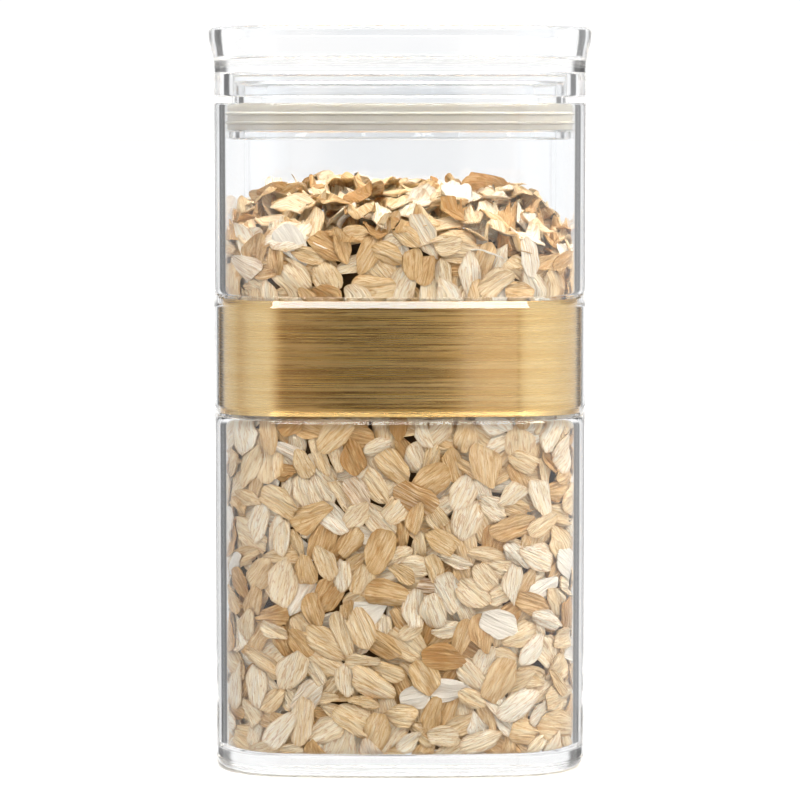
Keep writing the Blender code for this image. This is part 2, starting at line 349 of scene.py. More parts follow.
def sweep(name, profile, path=None, ring=False):
    """Sweeps a profile round the outline; path is an open outline, ring says that the profile is closed."""
    rail = flat_curve(name + "_rail", path or outline(), path is None)
    shape = flat_curve(name + "_shape", profile, ring)
    rail.data.bevel_mode = "OBJECT"
    rail.data.bevel_object = shape
    rail.data.use_fill_caps = path is not None
    graph = bpy.context.evaluated_depsgraph_get()
    mesh = bpy.data.meshes.new_from_object(rail.evaluated_get(graph))
    mesh.name = name
    bpy.data.objects.remove(rail)
    bpy.data.objects.remove(shape)
    form = bmesh.new()
    form.from_mesh(mesh)
    bmesh.ops.remove_doubles(form, verts=form.verts, dist=0.001 * MM)
    bmesh.ops.holes_fill(form, edges=[edge for edge in form.edges if edge.is_boundary], sides=0)
    bmesh.ops.recalc_face_normals(form, faces=form.faces)
    form.to_mesh(mesh)
    form.free()
    mesh.materials.clear()
    mesh.shade_smooth()
    mesh.set_sharp_from_angle(angle=math.radians(40.0))
    piece = bpy.data.objects.new(name, mesh)
    bpy.context.scene.collection.objects.link(piece)
    weighted = piece.modifiers.new("flat_faces_lead", "WEIGHTED_NORMAL")
    weighted.keep_sharp = True
    weighted.weight = 100
    print(name, len(mesh.polygons), "faces")
    return piece


# %% [markdown]
# ## Moulded acrylic
#
# The clear pieces are injection-moulded acrylic: index of refraction 1.49, almost no colour, a cool cast in
# long paths. Moulding leaves the surface very slightly wavy, over a few centimetres, and that is what bends
# the straight lines seen through it. Handling leaves faint hazy rubs, which a little roughness gives.

# %% Moulded acrylic
ACRYLIC_IOR = 1.49


def moulded_acrylic(name, wave_mm, wave_depth):
    """Clear moulded acrylic with slight waviness and faint rubs."""
    material = bpy.data.materials.new(name)
    material.use_nodes = True
    tree = material.node_tree
    shader = tree.nodes["Principled BSDF"]
    place = node(tree, "ShaderNodeTexCoord").outputs["Object"]
    waves = node(tree, "ShaderNodeTexNoise", {"Vector": place, "Scale": 1000.0 / wave_mm, "Detail": 1.0})
    rubs = node(tree, "ShaderNodeTexNoise", {"Vector": place, "Scale": 1000.0 / 9.0, "Detail": 5.0})
    haze = ramp(tree, rubs.outputs["Fac"], 0.58, 0.8, 0.0, 0.035)
    cast = node(tree, "ShaderNodeMix", {0: waves.outputs["Fac"], 6: linear("#FFFFFF"), 7: linear("#F9FBFD")},
                data_type="RGBA").outputs[2]
    bump = node(tree, "ShaderNodeBump",
                {"Strength": 0.35, "Distance": wave_depth, "Height": waves.outputs["Fac"]})
    shader.inputs["IOR"].default_value = ACRYLIC_IOR
    shader.inputs["Transmission Weight"].default_value = 1.0
    shader.inputs["Sheen Weight"].default_value = 0.5
    shader.inputs["Sheen Roughness"].default_value = 0.15
    tree.links.new(cast, shader.inputs["Base Color"])
    tree.links.new(haze, shader.inputs["Roughness"])
    tree.links.new(bump.outputs[0], shader.inputs["Normal"])
    return material


clear_body = moulded_acrylic("moulded_acrylic_body", 30.0, 0.12 * MM)
clear_lid = moulded_acrylic("moulded_acrylic_lid", 18.0, 0.08 * MM)
print("acrylic IOR", ACRYLIC_IOR)

# %% [markdown]
# ## Canister body
#
# One moulding: a thick floor, walls that meet it in a soft inside fillet, a fully rounded bottom edge, and a
# shallow recess round the middle whose two shoulders roll over before they drop into it.

# %% Canister body
BODY_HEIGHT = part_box("canister_body")[1].z
WALL = 2.8 * MM
FLOOR_THICKNESS = 4.6 * MM
BASE_FILLET = 2.7 * MM
INNER_FILLET = 2.0 * MM
RIM_FILLET = 0.6 * MM
RECESS = 1.75 * MM
SHOULDER_DEPTH = 0.9 * MM
SHOULDER_HEIGHT = 2.0 * MM
GAP = 0.3 * MM
BAND_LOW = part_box("band_cover")[0].z
BAND_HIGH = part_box("band_cover")[1].z

low = BAND_LOW - GAP
high = BAND_HIGH + GAP
body_corners = [
    (BASE_FILLET + 2 * MM, 0.0, 0.0),
    (0.0, 0.0, BASE_FILLET),
    *oval_edge((0.0, low - SHOULDER_HEIGHT), (SHOULDER_DEPTH, low)),
    (RECESS, low, 0.15 * MM),
    (RECESS, high, 0.15 * MM),
    *reversed(oval_edge((0.0, high + SHOULDER_HEIGHT), (SHOULDER_DEPTH, high))),
    (0.0, BODY_HEIGHT, RIM_FILLET),
    (WALL, BODY_HEIGHT, RIM_FILLET),
    (WALL, FLOOR_THICKNESS, INNER_FILLET),
    (WALL + INNER_FILLET + 2 * MM, FLOOR_THICKNESS, 0.0),
]
clear_canister = sweep("clear_canister", rounded(body_corners))
clear_canister.data.materials.append(clear_body)
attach(clear_canister, "canister")
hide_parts("canister_body")

# %% [markdown]
# ## Gold strip and its clear cover
#
# The strip is thin anodised aluminium, brushed along its length, so fine lines run round the canister. The
# brushing spreads every reflection upwards and downwards and keeps it sharp from side to side: an
# anisotropic shader with its tangent round the vertical axis does that. The cover's long edges are bevelled.

# %% Brushed gold anodised aluminium
def brushed_gold():
    """Gold anodised aluminium with brush lines about 0.2 mm apart, drawn 0.35 mm apart so that they show."""
    material = bpy.data.materials.new("brushed_gold_anodised_aluminium")
    material.use_nodes = True
    tree = material.node_tree
    shader = tree.nodes["Principled BSDF"]
    place = node(tree, "ShaderNodeTexCoord").outputs["Object"]
    lines_at = node(tree, "ShaderNodeMapping", {"Vector": place, "Scale": (25.0, 25.0, 2800.0)})
    lines = node(tree, "ShaderNodeTexNoise", {"Vector": lines_at.outputs[0], "Scale": 1.0, "Detail": 3.0})
    broad_at = node(tree, "ShaderNodeMapping", {"Vector": place, "Scale": (12.0, 12.0, 900.0)})
    broad = node(tree, "ShaderNodeTexNoise", {"Vector": broad_at.outputs[0], "Scale": 1.0, "Detail": 2.0})
    both = node(tree, "ShaderNodeMath", {0: lines.outputs["Fac"], 1: broad.outputs["Fac"]}, operation="ADD")
    worn = ramp(tree, both.outputs[0], 0.6, 1.4, 0.0, 1.0)
    colour = node(tree, "ShaderNodeMix", {0: worn, 6: linear("#DDB66F"), 7: linear("#EBCD92")},
                  data_type="RGBA")
    rough = ramp(tree, lines.outputs["Fac"], 0.3, 0.7, 0.2, 0.34)
    bump = node(tree, "ShaderNodeBump",
                {"Strength": 0.25, "Distance": 0.03 * MM, "Height": lines.outputs["Fac"]})
    along = node(tree, "ShaderNodeTangent", direction_type="RADIAL", axis="Z")
    shader.inputs["Metallic"].default_value = 1.0
    shader.inputs["Anisotropic"].default_value = 0.75
    shader.inputs["Anisotropic Rotation"].default_value = 0.25
    tree.links.new(colour.outputs[2], shader.inputs["Base Color"])
    tree.links.new(rough, shader.inputs["Roughness"])
    tree.links.new(bump.outputs[0], shader.inputs["Normal"])
    tree.links.new(along.outputs[0], shader.inputs["Tangent"])
    return material


# %% Gold strip
COVER_OUTER = -0.15 * MM
COVER_INNER = 0.95 * MM
BEVEL_DEPTH = 0.8 * MM
BEVEL_HEIGHT = 2.7 * MM
BEVEL_LIP = 0.6 * MM
GOLD_OUTER = 1.2 * MM
GOLD_INNER = 1.5 * MM
SEAM = 0.4 * MM

gold_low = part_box("gold_band")[0].z
gold_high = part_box("gold_band")[1].z
gold_corners = [(GOLD_OUTER, gold_low, 0.08 * MM), (GOLD_OUTER, gold_high, 0.08 * MM),
                (GOLD_INNER, gold_high, 0.08 * MM), (GOLD_INNER, gold_low, 0.08 * MM)]
gold_strip = sweep("gold_strip", rounded(gold_corners, True), wrapped_outline(SEAM), ring=True)
gold_strip.data.materials.append(brushed_gold())
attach(gold_strip, "canister")
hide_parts("gold_band")

# %% Clear cover
cover_corners = [
    (COVER_OUTER + BEVEL_DEPTH, BAND_LOW, 0.15 * MM),
    (COVER_OUTER + BEVEL_DEPTH, BAND_LOW + BEVEL_LIP, 0.8 * MM),
    (COVER_OUTER, BAND_LOW + BEVEL_HEIGHT, 2.0 * MM),
    (COVER_OUTER, BAND_HIGH - BEVEL_HEIGHT, 2.0 * MM),
    (COVER_OUTER + BEVEL_DEPTH, BAND_HIGH - BEVEL_LIP, 0.8 * MM),
    (COVER_OUTER + BEVEL_DEPTH, BAND_HIGH, 0.15 * MM),
    (COVER_INNER, BAND_HIGH, 0.0),
    (COVER_INNER, BAND_LOW, 0.0),
]
clear_cover = sweep("clear_cover", rounded(cover_corners, True), wrapped_outline(SEAM), ring=True)
clear_cover.data.materials.append(clear_body)
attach(clear_cover, "canister")
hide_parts("band_cover")

# %% [markdown]
# ## Lid
#
# Two clear mouldings: the shell, with a slab, a flared tray wall above and a thick short skirt below, and the
# plug, a shallow cup bonded under the slab, mouth down. A thick skirt bends light more than a thin one, which
# darkens the lid's lower corners.

# %% Lid shell
LID_OVERHANG = 0.25 * MM
SLAB = 3.4 * MM
NECK = 5.3 * MM
TRAY_WALL = 2.8 * MM
TRAY_FILLET = 1.4 * MM
RIM_THICKNESS = 3.6 * MM
RIM_ROUND = 1.1 * MM
FLARE_RISE = 2.1 * MM
SKIRT_DEPTH = 6.4 * MM
FLARE_STOP = 3.2 * MM
FLARE_CURVE = 15.0 * MM

skirt_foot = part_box("lid_shell")[0].z
lid_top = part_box("lid_shell")[1].z
rim_outer = HALF_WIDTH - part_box("lid_shell")[1].x
slab_under = skirt_foot + SKIRT_DEPTH
tray_floor = slab_under + SLAB
skirt_inner = NECK - GAP
tray_inner = TRAY_WALL - LID_OVERHANG
shell_corners = [
    (skirt_inner + 2 * MM, slab_under, 0.0),
    (skirt_inner, slab_under, RIM_FILLET),
    (skirt_inner, skirt_foot, RIM_FILLET),
    (-LID_OVERHANG, skirt_foot, RIM_FILLET),
    (-LID_OVERHANG, slab_under + FLARE_RISE, FLARE_CURVE),
    (rim_outer, lid_top - FLARE_STOP, FLARE_CURVE),
    (rim_outer, lid_top, RIM_ROUND),
    (rim_outer + RIM_THICKNESS, lid_top, RIM_ROUND),
    (tray_inner, tray_floor, TRAY_FILLET),
    (tray_inner + TRAY_FILLET + 2 * MM, tray_floor, 0.0),
]
clear_lid_shell = sweep("clear_lid_shell", rounded(shell_corners))
clear_lid_shell.data.materials.append(clear_lid)
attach(clear_lid_shell, "lid")
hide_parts("lid_shell")

# %% Lid plug
PLUG_WALL = 2.5 * MM
PLUG_PLATE = 2.0 * MM
PLUG_FILLET = 1.4 * MM
FLANGE = 2.1 * MM
FLANGE_EDGE = 3.9 * MM

plug_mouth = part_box("lid_plug")[0].z
plate_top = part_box("lid_plug")[1].z
flange_top = plug_mouth + FLANGE
neck_inner = NECK + PLUG_WALL
plug_corners = [
    (NECK + 2 * MM, plate_top, 0.0),
    (NECK, plate_top, RIM_FILLET),
    (NECK, flange_top, 0.2 * MM),
    (FLANGE_EDGE, flange_top, 0.3 * MM),
    (FLANGE_EDGE, plug_mouth, RIM_FILLET),
    (neck_inner, plug_mouth, RIM_FILLET),
    (neck_inner, plate_top - PLUG_PLATE, PLUG_FILLET),
    (neck_inner + PLUG_FILLET + 2 * MM, plate_top - PLUG_PLATE, 0.0),
]
clear_lid_plug = sweep("clear_lid_plug", rounded(plug_corners))
clear_lid_plug.data.materials.append(clear_lid)
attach(clear_lid_plug, "lid")
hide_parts("lid_plug")

# %% [markdown]
# ## Gasket
#
# Moulded beige silicone, soft and a little translucent, with two thin fins that wipe the wall. Silicone picks
# up dust and shows a dull bloom, so its roughness and tone drift slightly round the ring.

# %% Beige silicone
def moulded_silicone():
    """Beige silicone with a faint bloom."""
    material = bpy.data.materials.new("beige_moulded_silicone")
    material.use_nodes = True
    tree = material.node_tree
    shader = tree.nodes["Principled BSDF"]
    place = node(tree, "ShaderNodeTexCoord").outputs["Object"]
    bloom = node(tree, "ShaderNodeTexNoise", {"Vector": place, "Scale": 1000.0 / 14.0, "Detail": 4.0})
    dust = node(tree, "ShaderNodeTexNoise", {"Vector": place, "Scale": 1000.0 / 0.8, "Detail": 2.0})
    colour = node(tree, "ShaderNodeMix",
                  {0: bloom.outputs["Fac"], 6: linear("#CFCBC3"), 7: linear("#DBD9D3")}, data_type="RGBA")
    rough = ramp(tree, bloom.outputs["Fac"], 0.3, 0.7, 0.5, 0.62)
    bump = node(tree, "ShaderNodeBump",
                {"Strength": 0.2, "Distance": 0.05 * MM, "Height": dust.outputs["Fac"]})
    shader.inputs["IOR"].default_value = 1.41
    shader.inputs["Subsurface Weight"].default_value = 0.25
    shader.inputs["Subsurface Radius"].default_value = (1.0, 0.9, 0.7)
    shader.inputs["Subsurface Scale"].default_value = 1.5 * MM
    tree.links.new(colour.outputs[2], shader.inputs["Base Color"])
    tree.links.new(rough, shader.inputs["Roughness"])
    tree.links.new(bump.outputs[0], shader.inputs["Normal"])
    return material


# %% Gasket
GASKET_INNER = 5.0 * MM
GASKET_OUTER = 3.6 * MM
FIN_REACH = 3.0 * MM
FIN_DROPS = (5.1 * MM, 2.7 * MM)
FIN_HALF = 0.22 * MM

gasket_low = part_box("lid_gasket")[0].z
gasket_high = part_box("lid_gasket")[1].z
gasket_corners = [(GASKET_INNER, gasket_high, 0.2 * MM), (GASKET_INNER, gasket_low, 0.2 * MM),
                  (GASKET_OUTER, gasket_low, 0.35 * MM)]
for drop in FIN_DROPS:
    fin = BODY_HEIGHT - drop
    gasket_corners.append((GASKET_OUTER, fin - 2 * FIN_HALF, 0.12 * MM))
    gasket_corners.append((FIN_REACH, fin - FIN_HALF * 0.6, 0.08 * MM))
    gasket_corners.append((FIN_REACH, fin + FIN_HALF * 0.6, 0.08 * MM))
    gasket_corners.append((GASKET_OUTER, fin + 2 * FIN_HALF, 0.12 * MM))
gasket_corners.append((GASKET_OUTER, gasket_high, 0.35 * MM))
silicone_gasket = sweep("silicone_gasket", rounded(gasket_corners, True), ring=True)
silicone_gasket.data.materials.append(moulded_silicone())
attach(silicone_gasket, "lid")
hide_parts("lid_gasket")

# %% [markdown]
# ## Rolled oats
#
# A rolled oat is a steamed groat pressed between rollers: a thin flake about 12 by 8 mm, cupped, twisted and
# pleated lengthwise as it dried, often creased along its middle, and torn straight in places at its edge.
# Thousands of them fill the canister, so they are made together in arrays. Each one is a seven by eleven grid
# bent onto an oval, doubled for its thickness, so it is a thin closed body.

# %% One flake's shape
GRID_ALONG = np.linspace(-1.0, 1.0, 7)
GRID_ACROSS = np.linspace(-1.0, 1.0, 11)
random = np.random.default_rng(20240611)


def oval_grid(along, across):
    """A square grid pulled onto the unit disc."""
    a, b = np.meshgrid(along, across, indexing="ij")
    return (a * np.sqrt(1 - b ** 2 / 2)).ravel(), (b * np.sqrt(1 - a ** 2 / 2)).ravel()


def new_flake():
    """The numbers that make one flake differ from the next, in millimetres."""
    length = random.uniform(8.0, 13.5)
    return {
        "length": length,
        "width": length * random.uniform(0.44, 0.74),
        "egg": random.uniform(-0.05, 0.3),
        "waves": random.normal(0.0, 0.022, 6),
        "starts": random.uniform(0.0, 2 * np.pi, 6),
        "tears": [(random.uniform(0.0, 2 * np.pi), random.uniform(0.62, 1.1)) for _ in range(3)],
        "cup": random.normal(0.0, 0.6),
        "bend": random.normal(0.0, 0.6),
        "twist": random.normal(0.0, 0.7),
        "crease": max(0.0, random.normal(0.1, 0.3)),
        "crease_at": random.normal(0.0, 0.12),
        "pleats": random.uniform(0.04, 0.3, 2),
        "pitch": random.uniform(1.5, 6.5, 2),
        "skew": random.normal(0.0, 0.8, 2),
        "thickness": random.uniform(0.35, 0.6),
    }


def flake_front(flake, x, y):
    """The flake's front surface over the unit disc: along, across and out, in millimetres."""
    angle = np.arctan2(y, x)
    edge = 1 + sum(wave * np.cos((order + 2) * angle + start)
                   for order, (wave, start) in enumerate(zip(flake["waves"], flake["starts"])))
    for facing, distance in flake["tears"]:
        edge = np.minimum(edge, distance / np.maximum(np.cos(angle - facing), 0.3))
    along = x * edge * flake["length"] / 2
    across = y * edge * (1 - flake["egg"] * x) * flake["width"] / 2
    out = flake["cup"] * y ** 2 + flake["bend"] * x ** 2 + flake["twist"] * x * y
    out = out - flake["crease"] * np.exp(-((y - flake["crease_at"]) / 0.16) ** 2) * (1 - x ** 2)
    for pleat, pitch, skew, start in zip(flake["pleats"], flake["pitch"], flake["skew"], flake["starts"]):
        out = out + pleat * np.cos(pitch * y + skew * x + start) * (1.1 - 0.7 * x ** 2)
    return along, across, out


SHAPE_X, SHAPE_Y = oval_grid(GRID_ALONG, GRID_ACROSS)
PROBE_X, PROBE_Y = oval_grid(np.linspace(-1, 1, 21), np.linspace(-1, 1, 15))
print("flake grid", len(SHAPE_X), "points, probe", len(PROBE_X))


# %% [markdown]
# ### Packing the flakes
#
# Flakes against a wall lie like wet leaves on a window: the first ones touch the wall and the next ones rest
# on their backs. A height map does this without a physics run. It holds how far in the wall is already
# covered. Each new flake goes where the cover is thinnest, lies along the slope that it finds, leans a little
# at random and gives way where it would cross what is there, as a soft flake does. The heap on top and the
# layer on the floor are packed the same way.

# %% Height-map packing
CELL = 0.7
CLEAR = 0.05


class Bed:
    """A height map in millimetres over a flat patch, which may close on itself along its first side."""

    def __init__(self, wide, tall, closed):
        self.size = (int(np.ceil(wide / CELL)), int(np.ceil(tall / CELL)))
        self.height = np.zeros(self.size)
        self.wanted = np.zeros(self.size)
        self.closed = closed

    def cells(self, u, v):
        first = np.floor(u / CELL).astype(int)
        first = first % self.size[0] if self.closed else np.clip(first, 0, self.size[0] - 1)
        second = np.clip(np.floor(v / CELL).astype(int), 0, self.size[1] - 1)
        return first, second

    def thinnest(self, tries):
        """The place with the thinnest cover against what is wanted, of some random places."""
        i = random.integers(0, self.size[0], tries)
        j = random.integers(0, self.size[1], tries)
        lack = self.wanted[i, j] - self.height[i, j]
        best = int(np.argmax(lack))
        return (i[best] + 0.5) * CELL, (j[best] + 0.5) * CELL, float(lack[best])


def turned(along, across, out, spin, lean_a, lean_b):
    """Leans a flake about its two axes and spins it in its plane."""
    along, out = (along * math.cos(lean_a) - out * math.sin(lean_a),
                  along * math.sin(lean_a) + out * math.cos(lean_a))
    across, out = (across * math.cos(lean_b) - out * math.sin(lean_b),
                   across * math.sin(lean_b) + out * math.cos(lean_b))
    return (along * math.cos(spin) - across * math.sin(spin),
            along * math.sin(spin) + across * math.cos(spin), out)


def lay(bed, u, v, lean, follow, press):
    """Lays one new flake on the bed at (u, v); returns its front and rear points as (u, v, depth)."""
    flake = new_flake()
    spin = random.uniform(0.0, 2 * np.pi)
    px, py, _ = turned(*flake_front(flake, PROBE_X, PROBE_Y), spin, 0.0, 0.0)
    ground = bed.height[bed.cells(u + px, v + py)]
    fit = np.linalg.lstsq(np.stack([px, py, np.ones_like(px)], 1), ground, rcond=None)[0]
    slope_a = -(fit[0] * math.cos(spin) + fit[1] * math.sin(spin)) * follow
    slope_b = -(-fit[0] * math.sin(spin) + fit[1] * math.cos(spin)) * follow
    lean_a = math.atan(slope_a) + random.normal(0.0, lean)
    lean_b = math.atan(slope_b) + random.normal(0.0, lean)
    px, py, pw = turned(*flake_front(flake, PROBE_X, PROBE_Y), spin, lean_a, lean_b)
    at = bed.cells(u + px, v + py)
    depth = float(np.quantile(bed.height[at] + pw, press)) + CLEAR
    x, y, w = turned(*flake_front(flake, SHAPE_X, SHAPE_Y), spin, lean_a, lean_b)
    front = np.maximum(depth - w, bed.height[bed.cells(u + x, v + y)] + CLEAR)
    top = np.maximum(depth - pw, bed.height[at] + CLEAR) + flake["thickness"]
    np.maximum.at(bed.height, at, top)
    back = flake["thickness"] * (1 - 0.5 * np.hypot(SHAPE_X, SHAPE_Y) ** 4)
    return np.stack([np.stack([u + x, v + y, front], 1), np.stack([u + x, v + y, front + back], 1)])


# %% [markdown]
# ### From flat patch to canister
#
# The wall's patch is the inside outline unrolled. Rolling it up again is exact: a place along the patch names
# an arc and an angle on it, and depth shortens that arc's radius.

# %% Rolling up the wall
WALL_INSET = (WALL + 0.15 * MM) / MM
ARCS = [arc for quarter in range(4) for arc in section_arcs(quarter)]
ARC_LENGTHS = np.array([(arc[2] / MM - WALL_INSET) * (arc[4] - arc[3]) for arc in ARCS])
ARC_ENDS = np.cumsum(ARC_LENGTHS)
GIRTH = float(ARC_ENDS[-1])


def rolled(u, depth):
    """Places (x, y) in millimetres of points u along the unrolled wall, depth in from it."""
    u = np.mod(u, GIRTH)
    index = np.minimum(np.searchsorted(ARC_ENDS, u, side="right"), len(ARCS) - 1)
    arcs = np.array(ARCS)[index]
    share = 1 - (ARC_ENDS[index] - u) / ARC_LENGTHS[index]
    angle = arcs[:, 3] + (arcs[:, 4] - arcs[:, 3]) * share
    radius = arcs[:, 2] / MM - WALL_INSET - depth
    return arcs[:, 0] / MM + radius * np.cos(angle), arcs[:, 1] / MM + radius * np.sin(angle)


def inset_of(x, y):
    """How far in from the body's outline points lie, in millimetres, and the direction further in."""
    ax, ay = np.abs(x), np.abs(y)
    face_x = np.hypot(ax + REACH / MM, ay)
    face_y = np.hypot(ax, ay + REACH / MM)
    inset = np.minimum(FACE_RADIUS / MM - face_x, FACE_RADIUS / MM - face_y)
    towards = np.where((face_x > face_y)[:, None], np.stack([ax + REACH / MM, ay], 1) / face_x[:, None],
                       np.stack([ax, ay + REACH / MM], 1) / face_y[:, None])
    corner = np.stack([ax - HUB / MM, ay - HUB / MM], 1)
    bearing = np.arctan2(corner[:, 1], corner[:, 0])
    in_corner = (corner.min(1) > 0) & (bearing > SWING) & (bearing < math.pi / 2 - SWING)
    away = np.hypot(corner[:, 0], corner[:, 1])
    inset = np.where(in_corner, CORNER_RADIUS / MM - away, inset)
    towards = np.where(in_corner[:, None], corner / np.maximum(away, 1e-6)[:, None], towards)
    return inset, -towards * np.stack([np.sign(x), np.sign(y)], 1)


print("girth inside the wall", round(GIRTH, 1), "mm")

# %% Where the oats end at the top
OATS_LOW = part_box("rolled_oats")[0].z / MM
HEAP_CREST = 152.5
HEAP_FALL = 13.0
HEAP_TILT = 2.5


def heap_top(x, y):
    """Height of the heap in millimetres: flat on top, falling towards the walls, higher on the left."""
    half = HALF_WIDTH / MM
    reach = np.minimum(1.0, np.hypot(x, y) / half)
    return HEAP_CREST - HEAP_FALL * reach ** 4 - HEAP_TILT * x / half * reach


def kept_inside(points):
    """Presses points that would cross the wall or the floor back onto them."""
    flat = points.reshape(-1, 3)
    floor_curve = np.clip(OATS_LOW + INNER_FILLET / MM - flat[:, 2], 0.0, INNER_FILLET / MM)
    needed = WALL_INSET + INNER_FILLET / MM - np.sqrt((INNER_FILLET / MM) ** 2 - floor_curve ** 2)
    inset, inwards = inset_of(flat[:, 0], flat[:, 1])
    short = np.maximum(needed - inset, 0.0)
    flat[:, :2] += inwards * short[:, None]
    flat[:, 2] = np.maximum(flat[:, 2], OATS_LOW - 0.15)
    return flat.reshape(points.shape)


# %% Pack the wall
WALL_FLAKES = 1900
HEAP_FLAKES = 520
FLOOR_FLAKES = 170
side = HALF_WIDTH / MM
flakes = []

wall_bed = Bed(GIRTH, HEAP_CREST - OATS_LOW, closed=True)
wall_u, wall_v = [(np.arange(n) + 0.5) * CELL for n in wall_bed.size]
surface = heap_top(*rolled(wall_u, np.full(len(wall_u), 2.0)))
below = wall_v[None] + OATS_LOW < surface[:, None] - 3.5
wall_bed.wanted = np.where(below, 6.0, -100.0)
for _ in range(WALL_FLAKES):
    u, v, lack = wall_bed.thinnest(60)
    made = lay(wall_bed, u, v, 0.09, 0.5, 0.6)
    x, y = rolled(made[..., 0].ravel(), made[..., 2].ravel())
    points = np.stack([x, y, made[..., 1].ravel() + OATS_LOW], 1)
    flakes.append(kept_inside(points).reshape(made.shape))
print("wall cover, mm:", np.round(np.quantile(wall_bed.height[below], (0.0, 0.05, 0.5, 0.95, 1.0)), 1))


# %% Pack the floor and the heap
def inner_cells(bed, inset_limit):
    """Places of a level bed's cells, and which of them lie far enough from the wall."""
    x, y = np.meshgrid(*[(np.arange(n) + 0.5) * CELL - side for n in bed.size], indexing="ij")
    inset = inset_of(x.ravel(), y.ravel())[0].reshape(x.shape)
    return x, y, inset > inset_limit


floor_bed = Bed(2 * side, 2 * side, closed=False)
floor_bed.wanted = np.where(inner_cells(floor_bed, WALL_INSET + 3.0)[2], 3.0, -100.0)
for _ in range(FLOOR_FLAKES):
    made = lay(floor_bed, *floor_bed.thinnest(40)[:2], 0.06, 0.5, 0.6)
    flakes.append(kept_inside(made + np.array([-side, -side, OATS_LOW - 0.1])))

heap_bed = Bed(2 * side, 2 * side, closed=False)
cell_x, cell_y, inside = inner_cells(heap_bed, WALL_INSET + 2.0)
heap_bed.height = heap_top(cell_x, cell_y) - 7.0
heap_bed.wanted = np.where(inside, heap_top(cell_x, cell_y) - 1.5, -100.0)
for _ in range(HEAP_FLAKES):
    u, v, lack = heap_bed.thinnest(60)
    if lack < 0.3:
        break
    made = lay(heap_bed, u, v, 0.42, 0.4, 0.7)
    made[..., 2] = np.minimum(made[..., 2], heap_top(made[..., 0] - side, made[..., 1] - side) + 3.5)
    flakes.append(kept_inside(made[::-1] + np.array([-side, -side, 0.0])))
print("flakes: wall", WALL_FLAKES, "floor", FLOOR_FLAKES, "heap", len(flakes) - WALL_FLAKES - FLOOR_FLAKES)

# %% [markdown]
# ### Flakes to meshes
#
# The flakes go into a few pieces by side, so that no piece is too heavy. Every point keeps where it lies on
# its flake and its flake's own tone, and the material reads both. Each flake also gets two cells of a UV
# map, one for each side of it, for anyone who bakes the oats to a picture.

# %% Flake meshes
ROWS, COLUMNS = len(GRID_ALONG), len(GRID_ACROSS)
POINTS = ROWS * COLUMNS


def flake_faces():
    """Quads of one flake: front, rear and the rim between them, and which of the three each one is."""
    index = np.arange(POINTS).reshape(ROWS, COLUMNS)
    front = np.stack([index[:-1, :-1], index[1:, :-1], index[1:, 1:], index[:-1, 1:]], -1).reshape(-1, 4)
    rim = np.concatenate([index[0, :-1], index[:-1, -1], index[-1, :0:-1], index[:0:-1, 0]])
    after = np.roll(rim, -1)
    band = np.stack([rim, after, after + POINTS, rim + POINTS], 1)
    kinds = np.repeat([0, 1, 2], [len(front), len(front), len(band)])
    return np.concatenate([front, front[:, ::-1] + POINTS, band]), kinds


FACES, KINDS = flake_faces()


def bake_cells(count):
    """UV of every face corner: each flake's front with its rim in one cell, its rear in the next."""
    cells = math.ceil(math.sqrt(2 * count))
    place = np.stack([SHAPE_X, SHAPE_Y], 1)[FACES % POINTS]
    spread = np.where((KINDS[:, None] == 2) & (FACES >= POINTS), 0.47, 0.43)
    local = place * spread[..., None] + 0.5
    cell = 2 * np.arange(count)[:, None] + (KINDS == 1)[None]
    corner = np.stack([cell % cells, cell // cells], -1)[:, :, None, :]
    return ((corner + local[None]) / cells).astype(np.float32)


def point_layer(mesh, name, values):
    """A point attribute that the material reads."""
    vector = values.ndim == 2
    layer = mesh.attributes.new(name, "FLOAT_VECTOR" if vector else "FLOAT", "POINT")
    layer.data.foreach_set("vector" if vector else "value", values.astype(np.float32).ravel())


def flake_piece(name, chosen, material):
    """One mesh of many flakes."""
    count = len(chosen)
    points = np.stack(chosen).reshape(-1, 3) * MM
    faces = (FACES[None] + (np.arange(count) * 2 * POINTS)[:, None, None]).reshape(-1, 4)
    mesh = bpy.data.meshes.new(name)
    mesh.from_pydata(points.tolist(), [], faces.tolist())
    per_flake = 2 * POINTS
    point_layer(mesh, "place_on_flake", np.stack([
        np.tile(SHAPE_X, 2 * count), np.tile(SHAPE_Y, 2 * count),
        np.repeat(random.uniform(0.0, 60.0, count), per_flake)], 1))
    point_layer(mesh, "tone", np.repeat(random.beta(3.0, 3.0, count), per_flake))
    point_layer(mesh, "flour", np.repeat(random.uniform(0.0, 1.0, count) ** 14, per_flake))
    mesh.uv_layers.new(name="OFBake").data.foreach_set("uv", bake_cells(count).ravel())
    mesh.shade_smooth()
    mesh.set_sharp_from_angle(angle=math.radians(60.0))
    mesh.materials.append(material)
    piece = bpy.data.objects.new(name, mesh)
    bpy.context.scene.collection.objects.link(piece)
    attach(piece, "canister")
    print(name, count, "flakes,", 2 * len(mesh.polygons), "triangles")
    return piece
